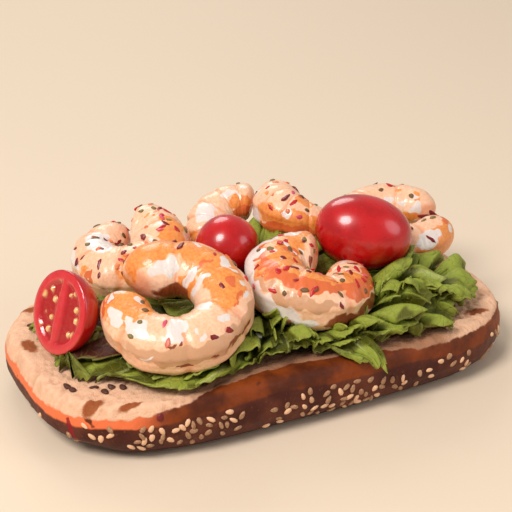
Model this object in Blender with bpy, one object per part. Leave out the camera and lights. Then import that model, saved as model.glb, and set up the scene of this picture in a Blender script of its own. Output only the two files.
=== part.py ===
"""Open sandwich: half a seeded roll, cut side up, with lettuce, curled prawns and small tomatoes.

Run it with blender --background --python part.py, or from Blender's text editor.
Units are metres, +Z is up and the roll's length runs along X. The origin is on the
surface that the sandwich stands on, under the middle of its bounding box.

The roll comes first, the prawns and tomatoes are laid over it, and the lettuce is worked
out last: one uneven body that fills the room left between the toppings and the roll.
"""

import math

import bmesh
import bpy
from mathutils import Matrix, Vector, noise
from mathutils.bvhtree import BVHTree

MM = 0.001

# ---------------------------------------------------------------- driving dimensions
BREAD_LENGTH = 152 * MM
BREAD_WIDTH = 88 * MM
BREAD_HEIGHT = 17.5 * MM
BREAD_SQUARENESS = 3.6  # exponent of the roll's superellipse outline
BREAD_WOBBLE = 0.7 * MM  # how far the hand-shaped outline strays
CUT_FACE_RIPPLE = 0.25 * MM  # how far the sawn face strays from flat

PRAWN_SEGMENTS = 6
TOMATO_RADIUS = 11.5 * MM

LEAF_GAP = 0.55 * MM  # between the lettuce and whatever lies under or on it
LEAF_LEAST = 0.7 * MM  # the lettuce where it is pressed flattest
LEAF_FLOOR = BREAD_HEIGHT + CUT_FACE_RIPPLE + LEAF_GAP

# the edge of the lettuce seen from above, anticlockwise from the middle of the back (mm)
LEAF_OUTLINE = [
    (-2, 40), (-24, 42), (-44, 38), (-58, 28), (-67, 12), (-69, -4), (-62, -20), (-50, -35),
    (-36, -41), (-20, -38), (-4, -39), (8, -42), (17, -47), (26, -41), (40, -40), (53, -31),
    (62, -17), (66, 0), (64, 18), (57, 32), (40, 39), (20, 42),
]

CRUST_COLOUR = (0.09, 0.030, 0.018)
PRAWN_COLOUR = (0.86, 0.45, 0.25)
TOMATO_COLOUR = (0.52, 0.012, 0.012)
LEAF_COLOUR = (0.20, 0.24, 0.045)


# ---------------------------------------------------------------- small helpers
def clear_scene():
    for obj in list(bpy.data.objects):
        bpy.data.objects.remove(obj)


def food_material(name, colour, roughness):
    material = bpy.data.materials.new(name)
    material.use_nodes = True
    shader = material.node_tree.nodes["Principled BSDF"]
    shader.inputs["Base Color"].default_value = (*colour, 1.0)
    shader.inputs["Roughness"].default_value = roughness
    shader.inputs["Metallic"].default_value = 0.0
    return material


def smooth(low, high, value):
    """0 below low, 1 above high, with a smooth rise between them."""
    t = min(1.0, max(0.0, (value - low) / (high - low)))
    return t * t * (3 - 2 * t)


def turns(count):
    """Angles that share out a full turn."""
    return [2 * math.pi * i / count for i in range(count)]


def object_from_rings(name, rings, first, last, material):
    """A closed body lofted through equal rings of points, with a fan round a first and a last point."""
    mesh = bmesh.new()
    loops = [[mesh.verts.new(point) for point in ring] for ring in rings]
    count = len(loops[0])
    for lower, upper in zip(loops, loops[1:]):
        for i in range(count):
            j = (i + 1) % count
            mesh.faces.new((lower[i], lower[j], upper[j], upper[i]))
    start, end = mesh.verts.new(first), mesh.verts.new(last)
    for i in range(count):
        j = (i + 1) % count
        mesh.faces.new((start, loops[0][j], loops[0][i]))
        mesh.faces.new((end, loops[-1][i], loops[-1][j]))
    bmesh.ops.recalc_face_normals(mesh, faces=mesh.faces)
    data = bpy.data.meshes.new(name)
    mesh.to_mesh(data)
    mesh.free()
    data.shade_smooth()
    data.materials.append(material)
    obj = bpy.data.objects.new(name, data)
    bpy.context.scene.collection.objects.link(obj)
    return obj


def world_points(obj):
    return [obj.matrix_world @ vertex.co for vertex in obj.data.vertices]


def world_tree(obj):
    """The object's surface in world space, for rays."""
    faces = [polygon.vertices for polygon in obj.data.polygons]
    return BVHTree.FromPolygons(world_points(obj), faces)


# ---------------------------------------------------------------- the roll
def bread_outline(angle, inset):
    """A point of the roll's outline, seen from above, moved in by inset."""
    c, s = math.cos(angle), math.sin(angle)
    power = 2 / BREAD_SQUARENESS
    x = (BREAD_LENGTH / 2 - inset) * math.copysign(abs(c) ** power, c)
    y = (BREAD_WIDTH / 2 - inset) * math.copysign(abs(s) ** power, s)
    stray = BREAD_WOBBLE * noise.noise(Vector((2.2 * c, 2.2 * s, 0.4)))
    return x + stray * c, y + stray * s


def cut_face_height(x, y):
    """The sawn face is not quite flat."""
    return BREAD_HEIGHT + CUT_FACE_RIPPLE * noise.noise(Vector((x, y, 0.0)) * 38)


def bread():
    angles = turns(60)
    # (inset of the outline, height) up the crust, from the flat base to the cut edge
    crust = [
        (8.5 * MM, 0.0),
        (4.6 * MM, 1.0 * MM),
        (1.9 * MM, 3.6 * MM),
        (0.3 * MM, 7.0 * MM),
        (0.2 * MM, 10.6 * MM),
        (0.9 * MM, 14.2 * MM),
        (2.0 * MM, 16.7 * MM),
    ]
    heel_inset = 5.0 * MM  # how much further the base draws in under the two ends
    heel_height = 7.0 * MM
    rings = []
    for inset, height in crust:
        ring = []
        for angle in angles:
            end = smooth(0.62, 1.0, abs(math.cos(angle)))
            low = 1 - smooth(0.0, heel_height, height)
            x, y = bread_outline(angle, inset + heel_inset * end * low)
            ring.append((x, y, height))
        rings.append(ring)
    for inset in (3.4 * MM, 12 * MM, 24 * MM):
        points = [bread_outline(angle, inset) for angle in angles]
        rings.append([(x, y, cut_face_height(x, y)) for x, y in points])
    base_middle = (0.0, 0.0, 0.0)
    top_middle = (0.0, 0.0, cut_face_height(0.0, 0.0))
    material = food_material("crust", CRUST_COLOUR, 0.7)
    return object_from_rings("bread", rings, base_middle, top_middle, material)


# ---------------------------------------------------------------- prawns
def prawn_thickness(t, tail):
    """Share of the full body radius along the prawn, 0 at the head end and 1 at the tail tip."""
    head_end = min(1.0, t / 0.055)
    rounded_head = 0.55 + 0.45 * math.sqrt(1 - (1 - head_end) ** 2)
    neck = 1.0 - 0.14 * (1 - smooth(0.02, 0.24, t))
    taper = 1.0 - (1.0 - tail) * smooth(0.30, 1.0, t)
    tail_end = min(1.0, (1 - t) / 0.09)
    rounded_tail = 0.35 + 0.65 * math.sqrt(1 - (1 - tail_end) ** 2)
    return rounded_head * neck * taper * rounded_tail


def prawn(name, ring, body, sweep, lift=0.0, tuck=0.0, tail=0.54):
    """A peeled prawn curled in its own XY plane, with its head end at +X.

    Ring is the curl's radius to the middle of the body, body is half the body's thickness (both mm)
    and sweep is the angle it curls through (degrees, anticlockwise). Towards the tail it rises by
    lift (mm), the curl tightens by the share tuck and the body thins to the share tail.
    """
    stations = 31
    around = turns(10)
    rings = []
    ends = []
    for i in range(stations):
        t = i / (stations - 1)
        angle = math.radians(sweep) * t
        ring_radius = ring * MM * (1 - tuck * smooth(0.35, 1.0, t))
        thickness = body * MM * prawn_thickness(t, tail)
        outward = Vector((math.cos(angle), math.sin(angle), 0))
        middle = ring_radius * outward + Vector((0, 0, lift * MM * smooth(0.45, 1.0, t)))
        segment_bulge = 0.07 * abs(math.sin(math.pi * PRAWN_SEGMENTS * t))
        loop = []
        for turn in around:
            back = 0.5 + 0.5 * math.cos(turn)  # 1 on the prawn's back, 0 on its belly
            reach = thickness * (0.97 + segment_bulge * back)
            loop.append(middle + reach * (math.cos(turn) * outward + math.sin(turn) * Vector((0, 0, 0.94))))
        rings.append(loop)
        if i in (0, stations - 1):
            along = Vector((-math.sin(angle), math.cos(angle), 0)) * math.copysign(1, sweep)
            sign = -1 if i == 0 else 1
            ends.append(middle + sign * 0.16 * thickness * along)
    return object_from_rings(name, rings, *ends, food_material(name + "_flesh", PRAWN_COLOUR, 0.35))


# ---------------------------------------------------------------- tomatoes
def tomato_skin(name):
    return food_material(name + "_skin", TOMATO_COLOUR, 0.15)


def whole_tomato(name, length, size):
    """A small plum tomato with its length (mm) along local Z."""
    steps = 11
    half = 0.5 * size * length * MM
    rings = []
    for i in range(1, steps):
        angle = math.pi * i / steps
        radius = size * TOMATO_RADIUS * math.sin(angle) ** 0.92
        height = -half * math.cos(angle)
        rings.append([(radius * math.cos(a), radius * math.sin(a), height) for a in turns(18)])
    return object_from_rings(name, rings, (0, 0, -half), (0, 0, half), tomato_skin(name))


def half_tomato(name, length, size):
    """Half a tomato, cut along its length (mm). The cut face looks along local +Z, over its dome."""
    depth_steps = 5
    half = 0.5 * size * length * MM
    radius = size * TOMATO_RADIUS
    rings = []
    for i in range(depth_steps + 1):
        depth_angle = 0.5 * math.pi * i / (depth_steps + 0.6)
        share = math.cos(depth_angle)
        z = -radius * math.sin(depth_angle)
        rings.append([(half * share * math.cos(a), radius * share * math.sin(a), z) for a in turns(24)])
    return object_from_rings(name, rings, (0, 0, 0), (0, 0, -radius), tomato_skin(name))


# ---------------------------------------------------------------- laying toppings
def lay(obj, place, spin, tilt=0.0, heading=0.0):
    """Puts a topping at place (mm), turned by spin in its own plane and then tilted.

    The tilt is about the level line that points along heading, and it raises what lies to the
    left of that line. All angles are in degrees.
    """
    spin, tilt, heading = (math.radians(a) for a in (spin, tilt, heading))
    in_plane = Matrix.Rotation(spin - heading, 3, "Z")
    turn = Matrix.Rotation(heading, 3, "Z") @ Matrix.Rotation(tilt, 3, "X") @ in_plane
    obj.rotation_euler = turn.to_euler()
    obj.location = Vector(place) * MM
    bpy.context.view_layer.update()
    return obj


def lay_toppings():
    return [
        lay(prawn("prawn_front", 13.8, 8.3, 338, lift=2.2, tail=1.02), (-34, -17.2, 33.1), 143, 20, -26),
        lay(prawn("prawn_middle", 10.9, 9.3, 334, lift=-6.0, tail=0.82), (10.6, -15.4, 32.4), 56, 8, -26),
        lay(prawn("prawn_right", 13.7, 7.5, -322, tail=0.84), (57.1, 14.8, 28.7), -34, 8, -26),
        lay(
            prawn("prawn_back_left", 10.4, 9.5, -350, lift=-4.8, tuck=0.08, tail=0.70),
            (-31.0, 27.8, 32.0), 56, 19, -26,
        ),
        lay(prawn("prawn_back", 12.5, 7.2, -134, tail=0.84), (10.0, 28.6, 29.2), 188, 32, -26),
        lay(prawn("prawn_top", 10.2, 8.2, 176, lift=-2.5), (30.8, 24.2, 37.3), 124, 2, -26),
        lay(whole_tomato("tomato_small", 24, 0.86), (-3.2, 14.6, 33.2), 0, 70, -26),
        lay(whole_tomato("tomato_large", 30, 1.0), (34.2, -4.5, 38.2), 90, 76, -116),
        lay(half_tomato("tomato_half", 25, 0.98), (-64, -3.5, 32.2), 19, 70, -71),
    ]


# ---------------------------------------------------------------- lettuce
def closed_curve(points, t):
    """A point of the smooth closed curve through the given points, t from 0 to 1."""
    count = len(points)
    i = int(t * count) % count
    u = t * count - int(t * count)
    p0, p1, p2, p3 = (Vector(points[(i + k) % count]) for k in (-1, 0, 1, 2))
    straight = 2 * p1 + (p2 - p0) * u
    bend = (2 * p0 - 5 * p1 + 4 * p2 - p3) * u**2 + (3 * p1 - p0 - 3 * p2 + p3) * u**3
    return 0.5 * (straight + bend)


def lowest_above(trees, x, y, reach):
    """The lowest topping surface over a disc round x, y, or infinity where nothing lies over it."""
    offsets = [(0.0, 0.0)]
    for share in (0.5, 1.0):
        offsets += [(share * reach * math.cos(a), share * reach * math.sin(a)) for a in turns(8)]
    lowest = math.inf
    for dx, dy in offsets:
        for tree in trees:
            hit = tree.ray_cast(Vector((x + dx, y + dy, 0.0)), Vector((0, 0, 1)))[0]
            if hit:
                lowest = min(lowest, hit.z)
    return lowest


def hill(x, y, middle, width, depth):
    """A smooth rise of 1 at its middle. Its middle, width and depth are in millimetres."""
    return math.exp(-(((x / MM - middle[0]) / width) ** 2) - ((y / MM - middle[1]) / depth) ** 2)


def heap_rise(x, y, inside):
    """How high the lettuce heaps up where nothing presses on it. Inside is 0 at its edge."""
    wave = noise.noise(Vector((x, y, 0.003)) * 95) + 0.5 * noise.noise(Vector((x, y, 0.02)) * 210)
    level = (5.0 + 2.6 * wave) * (0.45 + 0.55 * smooth(-58 * MM, -34 * MM, x))
    level += 4.5 * hill(x, y, (46, -22), 20, 15)
    level += 9.0 * hill(x, y, (28, 14), 24, 17)
    rim = 1.6 + 0.5 * wave
    return MM * (rim + max(0.0, level - rim) * smooth(0.0, 0.30, inside))


def lettuce(toppings):
    """The heap of leaves, one body that fills the room between the roll and the toppings."""
    around = 84
    shares = [0.22, 0.40, 0.55, 0.68, 0.79, 0.88, 0.95, 1.0]  # how far out each ring lies
    press_reach = 4.4 * MM
    trees = [world_tree(topping) for topping in toppings]
    edge = [closed_curve(LEAF_OUTLINE, i / around) * MM for i in range(around)]
    bottom, top = [], []
    for share in shares:
        low_ring, high_ring = [], []
        for rim in edge:
            frill = 1.3 * MM * share**6 * noise.noise(Vector((rim.x, rim.y, 0.05)) * 330)
            x, y = rim * share + rim.normalized() * frill
            free = LEAF_FLOOR + heap_rise(x, y, 1 - share)
            pressed = lowest_above(trees, x, y, press_reach) - LEAF_GAP
            low_ring.append((x, y, LEAF_FLOOR))
            high_ring.append((x, y, max(LEAF_FLOOR + LEAF_LEAST, min(free, pressed))))
        bottom.append(low_ring)
        top.append(high_ring)
    free = LEAF_FLOOR + heap_rise(0.0, 0.0, 1)
    middle_height = min(free, lowest_above(trees, 0.0, 0.0, 2 * press_reach) - LEAF_GAP)
    rings = bottom + list(reversed(top))
    material = food_material("lettuce_leaf", LEAF_COLOUR, 0.45)
    return object_from_rings("lettuce", rings, (0.0, 0.0, LEAF_FLOOR), (0.0, 0.0, middle_height), material)


# ---------------------------------------------------------------- the sandwich
def stand_on_origin(objects):
    """Moves the whole sandwich so that its bounding box stands centred on the origin."""
    points = [point for obj in objects for point in world_points(obj)]
    low = Vector([min(p[i] for p in points) for i in range(3)])
    high = Vector([max(p[i] for p in points) for i in range(3)])
    parent = bpy.data.objects.new("sandwich", None)
    bpy.context.scene.collection.objects.link(parent)
    for obj in objects:
        obj.parent = parent
    parent.location = (-(low.x + high.x) / 2, -(low.y + high.y) / 2, -low.z)


def main():
    clear_scene()
    roll = bread()
    toppings = lay_toppings()
    salad = lettuce(toppings)
    stand_on_origin([roll, *toppings, salad])


main()
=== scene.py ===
"""Looks of the open sandwich: a seeded roll half, frilled lettuce, curled prawns and small tomatoes.

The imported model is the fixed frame. The roll, prawns, tomatoes and lettuce are finer pieces that
stand for its nodes, and seeds, chilli and pepper flakes are strewn over them.
"""

import math

import bmesh
import bpy
import numpy as np
from mathutils import Matrix, Vector, noise
from mathutils.bvhtree import BVHTree


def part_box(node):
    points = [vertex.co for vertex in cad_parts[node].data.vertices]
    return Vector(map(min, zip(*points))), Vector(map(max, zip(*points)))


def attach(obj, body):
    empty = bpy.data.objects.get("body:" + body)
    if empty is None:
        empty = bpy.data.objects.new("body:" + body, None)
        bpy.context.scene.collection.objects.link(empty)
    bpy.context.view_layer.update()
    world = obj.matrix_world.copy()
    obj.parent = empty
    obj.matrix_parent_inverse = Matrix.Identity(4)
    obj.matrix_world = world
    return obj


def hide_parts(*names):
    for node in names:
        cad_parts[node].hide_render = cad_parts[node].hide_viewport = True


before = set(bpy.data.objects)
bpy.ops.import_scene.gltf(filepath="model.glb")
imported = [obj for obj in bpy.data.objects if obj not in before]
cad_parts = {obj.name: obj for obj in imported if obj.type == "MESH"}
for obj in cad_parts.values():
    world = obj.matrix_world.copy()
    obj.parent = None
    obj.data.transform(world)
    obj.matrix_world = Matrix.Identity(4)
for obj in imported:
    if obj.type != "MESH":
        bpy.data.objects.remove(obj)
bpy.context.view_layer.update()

MM = 0.001
BODY = "root"
noise.seed_set(1)  # noise vectors start from the clock otherwise, and change from run to run

# ---------------------------------------------------------------- the roll
BREAD_LENGTH = 152 * MM
BREAD_WIDTH = 88 * MM
BREAD_HEIGHT = 17.5 * MM
BREAD_SQUARENESS = 3.6
BREAD_WOBBLE = 0.7 * MM
# (inset of the outline, height) up the crust in mm, from the flat base to the cut edge
CRUST_PROFILE = [
    (8.5, 0.0), (4.6, 1.0), (1.9, 3.6), (0.3, 7.0), (0.2, 10.6), (0.9, 14.2), (2.0, 16.7), (3.4, 17.5),
]
# how far up the side, measured along the crust in mm, the toasted rim and the crumb begin at each x
RIM_START = [
    (-76, 15.0), (-50, 16.0), (-30, 17.5), (-14, 18.8), (0, 17.3), (32, 17.3), (46, 15.2), (76, 15.5),
]
CRUMB_START = [
    (-76, 17.3), (-48, 19.4), (-40, 21.5), (-30, 26.0), (-8, 28.3), (8, 26.3), (34, 20.6), (76, 20.0),
]
# browned marks on the crumb: (x, y, half length, half depth) in mm
TOAST_MARKS = [
    (-65, -31, 4.0, 2.4), (-56, -36, 4.6, 1.3), (-70, 8, 2.5, 5.0), (-62, 30, 5.0, 2.2), (30, 39, 9.0, 1.8),
    (69, 12, 1.8, 6.0), (60, -31, 5.0, 2.0), (-20, 40, 7.0, 1.6), (67, -16, 2.2, 3.5),
]
# single dark seeds on the crumb: (x, y, z, turn) in mm and degrees
DARK_SEEDS = [
    (-61.5, -22.5, 17, 20), (-59.5, -26, 17, 75), (-57, -24.5, 17, 130), (-54.5, -26.5, 17, 10),
    (-68, -18.5, 17, 60), (-67.5, -21.5, 17, 100), (-66, 20, 17, 100), (-40, 38, 17, 45),
]

# ---------------------------------------------------------------- prawns and tomatoes
# ring radius and body radius in mm, sweep in degrees, lift in mm, the tail end's tuck and its share
# of the body's thickness, then the spin and tilt in degrees that lay it
PRAWNS = {
    "prawn_front": (13.8, 8.3, 338, 2.2, 0.0, 1.02, 143, 20),
    "prawn_middle": (10.9, 9.3, 334, -6.0, 0.0, 0.82, 56, 8),
    "prawn_right": (13.7, 7.5, -322, 0.0, 0.0, 0.84, -34, 8),
    "prawn_back_left": (10.4, 9.5, -350, -4.8, 0.08, 0.70, 56, 19),
    "prawn_back": (12.5, 7.2, -134, 0.0, 0.0, 0.84, 188, 32),
    "prawn_top": (10.2, 8.2, 176, -2.5, 0.0, 0.54, 124, 2),
}
PRAWN_HEADING = -26
TOMATO_RADIUS = 11.5 * MM

# ---------------------------------------------------------------- lettuce
LEAF_THICKNESS = 0.4 * MM
LEAF_ALONG = 15  # points of a leaf's grid from its root to its rim
UNDER_TOPPING = 0.45 * MM
OVER_ROLL = 0.35 * MM
LONGEST_CELL = 4 * MM
# the front edge of the heap, (x, y) in mm: back from the crumb at the left, at the rim further right
FRONT_EDGE = [
    (-76, -13), (-67, -16), (-61, -20), (-54, -23.5), (-51, -28), (-48, -34), (-44, -38.5), (-37, -38.5),
    (-28, -36), (-20, -33.5), (-12, -32.5), (0, -34.5), (16, -37.5), (41, -38), (60, -36), (76, -28),
]


# ================================================================ node building
class Socket:
    """A node's output. Sums written on it add Math nodes to its tree."""

    def __init__(self, graph, out):
        self.graph = graph
        self.out = out

    def other(self, name):
        """Another output of the same node."""
        return Socket(self.graph, self.out.node.outputs[name])

    def math(self, operation, *values):
        return self.graph.math(operation, self, *values)

    def __add__(self, value):
        return self.math("ADD", value)

    def __sub__(self, value):
        return self.math("SUBTRACT", value)

    def __rsub__(self, value):
        return self.graph.math("SUBTRACT", value, self)

    def __mul__(self, value):
        return self.math("MULTIPLY", value)

    def __truediv__(self, value):
        return self.math("DIVIDE", value)

    def __pow__(self, value):
        return self.math("POWER", value)

    __radd__ = __add__
    __rmul__ = __mul__

    def smooth(self, low, high):
        """0 at low and 1 at high, with a smooth rise between them."""
        sockets = {"Value": self, "From Min": low, "From Max": high}
        return self.graph.add("ShaderNodeMapRange", {"interpolation_type": "SMOOTHSTEP"}, sockets)


class Graph:
    """A node tree under construction."""

    def __init__(self, tree):
        self.tree = tree

    def add(self, kind, settings=None, sockets=None):
        """Adds a node: its settings first, then a value or a link for each socket, by name or place."""
        node = self.tree.nodes.new(kind)
        for name, value in (settings or {}).items():
            setattr(node, name, value)
        for name, value in (sockets or {}).items():
            socket = node.inputs[name]
            if isinstance(name, str):
                socket = next(s for s in node.inputs if s.name == name and s.enabled)
            if isinstance(value, Socket):
                self.tree.links.new(value.out, socket)
            else:
                socket.default_value = value
        outputs = [out for out in node.outputs if out.enabled]
        return Socket(self, outputs[0]) if outputs else None

    def math(self, operation, *values):
        return self.add("ShaderNodeMath", {"operation": operation}, dict(enumerate(values)))

    def noise(self, place, scale, detail=2.0, roughness=0.5):
        """Smooth noise from 0 to 1. Scale is in features per metre."""
        sockets = {"Vector": place, "Scale": scale, "Detail": detail, "Roughness": roughness}
        return self.add("ShaderNodeTexNoise", {}, sockets)

    def cells(self, place, scale, feature="F1"):
        """Distance to the nearest of many scattered points, scale of them to a metre."""
        return self.add("ShaderNodeTexVoronoi", {"feature": feature}, {"Vector": place, "Scale": scale})

    def mix(self, share, first, second):
        """First where share is 0 and second where it is 1. Both are colours."""
        sockets = {"Factor": share, "A": first, "B": second}
        return self.add("ShaderNodeMix", {"data_type": "RGBA"}, sockets)

    def bump(self, height, distance, strength):
        return self.add("ShaderNodeBump", {}, {"Height": height, "Distance": distance, "Strength": strength})

    def attribute(self, name):
        """A number that the piece's mesh carries, for a material."""
        return self.add("ShaderNodeAttribute", {"attribute_name": name}).other("Fac")

    def place(self):
        """The piece's own coordinates, in metres."""
        return self.add("ShaderNodeTexCoord").other("Object")

    def surface(self, **sockets):
        """The finished surface of a material, from its shader's sockets."""
        named = {name.replace("_", " "): value for name, value in sockets.items()}
        shader = self.add("ShaderNodeBsdfPrincipled", {}, named)
        self.add("ShaderNodeOutputMaterial", {}, {"Surface": shader})


def colour(code):
    """A linear colour from a six-figure code."""
    shares = [int(code[i : i + 2], 16) / 255 for i in (0, 2, 4)]
    linear = [s / 12.92 if s <= 0.04045 else ((s + 0.055) / 1.055) ** 2.4 for s in shares]
    return (*linear, 1.0)


def new_material(name):
    made = bpy.data.materials.new(name)
    made.use_nodes = True
    made.node_tree.nodes.clear()
    return made, Graph(made.node_tree)


# ================================================================ small helpers
def ramp(points, x):
    """A value read from a short list of (x, value) points."""
    return np.interp(x, [p[0] for p in points], [p[1] for p in points])


def smooth(low, high, value):
    t = np.clip((value - low) / (high - low), 0, 1)
    return t * t * (3 - 2 * t)


def new_object(name, mesh):
    obj = bpy.data.objects.new(name, mesh)
    bpy.context.scene.collection.objects.link(obj)
    return obj


def mesh_from(name, vertices, faces):
    mesh = bpy.data.meshes.new(name)
    mesh.from_pydata([tuple(v) for v in vertices], [], [tuple(f) for f in faces])
    mesh.validate()
    mesh.update()
    mesh.shade_smooth()
    return mesh


def coordinates(mesh):
    found = np.empty(len(mesh.vertices) * 3, np.float32)
    mesh.vertices.foreach_get("co", found)
    return found.reshape(-1, 3).astype(float)


def write(mesh, name, values):
    """Stores one number a vertex on the mesh."""
    held = mesh.attributes.get(name) or mesh.attributes.new(name, "FLOAT", "POINT")
    held.data.foreach_set("value", np.asarray(values, np.float32))


def read(mesh, name):
    found = np.empty(len(mesh.vertices), np.float32)
    mesh.attributes[name].data.foreach_get("value", found)
    return found.astype(float)


def ring_faces(rings, count, first, last):
    """Faces of a loft through equal rings, closed by a fan round a first and a last vertex."""
    faces = []
    for r in range(rings - 1):
        for i in range(count):
            j = (i + 1) % count
            faces.append((r * count + i, r * count + j, (r + 1) * count + j, (r + 1) * count + i))
    for i in range(count):
        j = (i + 1) % count
        faces.append((first, j, i))
        faces.append((last, (rings - 1) * count + i, (rings - 1) * count + j))
    return faces


def together(meshes):
    """The vertices and the faces of several meshes, as if they were one."""
    vertices, faces = [], []
    for mesh in meshes:
        start = len(vertices)
        vertices += [v.co.copy() for v in mesh.vertices]
        faces += [[start + i for i in polygon.vertices] for polygon in mesh.polygons]
    return vertices, faces


def surface_of(*nodes):
    """The surface of CAD nodes together, for rays and nearest points."""
    return BVHTree.FromPolygons(*together([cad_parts[node].data for node in nodes]))


def centre_on(mesh, node):
    """Moves a mesh so that its box has the same middle as the node's."""
    low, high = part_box(node)
    points = coordinates(mesh)
    own = Vector((points.min(0) + points.max(0)) / 2)
    mesh.transform(Matrix.Translation((low + high) / 2 - own))


def grown(name, tree, inputs, surface=None):
    """The plain mesh that a geometry tree makes, from a surface mesh if it needs one."""
    holder = new_object(name, surface or bpy.data.meshes.new(name))
    modifier = holder.modifiers.new("growth", "NODES")
    modifier.node_group = tree
    for item in tree.interface.items_tree:
        if item.in_out == "INPUT" and item.name in inputs:
            modifier[item.identifier] = inputs[item.name]
    bpy.context.view_layer.update()
    depsgraph = bpy.context.evaluated_depsgraph_get()
    evaluated = holder.evaluated_get(depsgraph)
    mesh = bpy.data.meshes.new_from_object(evaluated, preserve_all_data_layers=True, depsgraph=depsgraph)
    holder.modifiers.clear()
    bpy.data.objects.remove(holder)
    mesh.name = name
    return mesh


def piece(name, mesh, nodes=(), materials=()):
    """A finished piece that rides on the sandwich's one body."""
    obj = new_object(name, mesh)
    if materials:
        mesh.materials.clear()
    for material in materials:
        mesh.materials.append(material)
    if nodes:
        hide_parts(*nodes)
    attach(obj, BODY)
    return obj


# ================================================================ geometry trees
def new_tree(name, inputs):
    """A geometry tree with named inputs. An input is (kind, default)."""
    tree = bpy.data.node_groups.new(name, "GeometryNodeTree")
    tree.interface.new_socket("Geometry", in_out="INPUT", socket_type="NodeSocketGeometry")
    tree.interface.new_socket("Geometry", in_out="OUTPUT", socket_type="NodeSocketGeometry")
    for title, (kind, default) in inputs.items():
        made = tree.interface.new_socket(title, in_out="INPUT", socket_type="NodeSocket" + kind)
        if default is not None:
            made.default_value = default
    graph = Graph(tree)
    return graph, graph.add("NodeGroupInput")


def store(graph, geometry, name, value, domain="POINT"):
    settings = {"data_type": "FLOAT", "domain": domain}
    sockets = {"Geometry": geometry, "Name": name, "Value": value}
    return graph.add("GeometryNodeStoreNamedAttribute", settings, sockets)


def moved(graph, geometry, x, y, z):
    """The geometry with each vertex at x, y, z."""
    place = graph.add("ShaderNodeCombineXYZ", {}, {"X": x, "Y": y, "Z": z})
    return graph.add("GeometryNodeSetPosition", {}, {"Geometry": geometry, "Position": place})


def split(graph, vector):
    parts = graph.add("ShaderNodeSeparateXYZ", {}, {"Vector": vector})
    return parts.other("X"), parts.other("Y"), parts.other("Z")


def prawn_tree():
    """A peeled prawn curled in the XY plane, its head end at +X, with creases between its segments."""
    stations, around, segments = 240, 88, 6
    cap = 0.045  # share of the stations that closes each end
    head_round, head_blunt = 0.055, 0.55  # share of the length that rounds off, and the least thickness
    tail_round, tail_blunt = 0.09, 0.35
    neck_narrowing = 0.14
    titles = ("Ring", "Body", "Sweep", "Lift", "Tuck", "Tail")
    inputs = {title: ("Float", 1.0) for title in titles}
    graph, given = new_tree("curled prawn", {**inputs, "Finish": ("Material", None)})
    ring, body, sweep, lift, tuck, tail = (given.other(title) for title in titles)
    sheet = {"Size X": 1.0, "Size Y": 1.0, "Vertices X": stations, "Vertices Y": around}
    grid = graph.add("GeometryNodeMeshGrid", {}, sheet)
    across, up, _ = split(graph, graph.add("GeometryNodeInputPosition"))
    station = across + 0.5
    turn = (up + 0.5) * (2 * math.pi)
    t = ((station - cap) / (1 - 2 * cap)).math("MAXIMUM", 0.0).math("MINIMUM", 1.0)
    head_cap = (station / cap).math("MINIMUM", 1.0)
    tail_cap = ((1 - station) / cap).math("MINIMUM", 1.0)
    from_back = turn.math("COSINE")
    from_side = turn.math("SINE")
    back = from_back * 0.5 + 0.5

    head_end = (t / head_round).math("MINIMUM", 1.0)
    tail_end = ((1 - t) / tail_round).math("MINIMUM", 1.0)
    rounded_head = (1 - (1 - head_end) ** 2).math("SQRT") * (1 - head_blunt) + head_blunt
    rounded_tail = (1 - (1 - tail_end) ** 2).math("SQRT") * (1 - tail_blunt) + tail_blunt
    neck = t.smooth(0.02, 0.24) * neck_narrowing + (1 - neck_narrowing)
    taper = 1 - (1 - tail) * t.smooth(0.3, 1.0)
    thickness = body * rounded_head * neck * taper * rounded_tail

    along_segment = (t * segments).math("FRACT")
    to_crease = 0.5 - (along_segment - 0.5).math("ABSOLUTE")
    crease = 1 - to_crease.smooth(0.0, 0.10)
    bulge = (t * (math.pi * segments)).math("SINE").math("ABSOLUTE")
    ledge = along_segment.smooth(0.0, 0.16) * (1 - along_segment) * 0.05
    vein = 1 - (1 - from_back).smooth(0.0, 0.05)
    vein = vein * t.smooth(0.06, 0.14) * (1 - t.smooth(0.7, 0.8))
    angle = sweep * t
    cosine = angle.math("COSINE")
    sine = angle.math("SINE")
    winding = {"X": cosine * 1.4 + from_back * 0.45, "Y": sine * 1.4, "Z": from_side * 0.45 + ring * 70}
    noise_place = graph.add("ShaderNodeCombineXYZ", {}, winding)
    lumps = graph.noise(noise_place, 2.2, 3.0) - 0.5
    fibres = graph.noise(noise_place, 11.0, 2.0) - 0.5
    share = 0.98 + bulge * back * 0.045 + ledge * (0.4 + back * 0.6) - crease * (0.008 + back * 0.02)
    share = share - vein * 0.06 + lumps * 0.16 + fibres * 0.03
    closing = (head_cap * tail_cap) ** 0.8
    reach = thickness * share * closing
    centre = ring * (1 - tuck * t.smooth(0.35, 1.0))
    out = centre + reach * from_back
    side = sweep.math("SIGN")
    dome = thickness * side * 0.16 * ((1 - tail_cap**2) - (1 - head_cap**2))
    x = cosine * out - sine * dome
    y = sine * out + cosine * dome
    z = lift * t.smooth(0.45, 1.0) + reach * from_side * 0.94

    shape = store(graph, grid, "along", t)
    shape = store(graph, shape, "back", from_back)
    shape = store(graph, shape, "side", from_side)
    shape = store(graph, shape, "crease", crease)
    shape = store(graph, shape, "head_face", 1 - head_cap)
    shape = moved(graph, shape, x, y, z)
    shape = graph.add("GeometryNodeMergeByDistance", {}, {"Geometry": shape, "Distance": 0.01 * MM})
    shape = graph.add("GeometryNodeSetShadeSmooth", {}, {"Geometry": shape})
    shape = graph.add("GeometryNodeRealizeInstances", {}, {"Geometry": shape})
    shape = graph.add("GeometryNodeSetMaterial", {}, {"Geometry": shape, "Material": given.other("Finish")})
    graph.add("NodeGroupOutput", {}, {0: shape})
    return graph.tree


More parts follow.
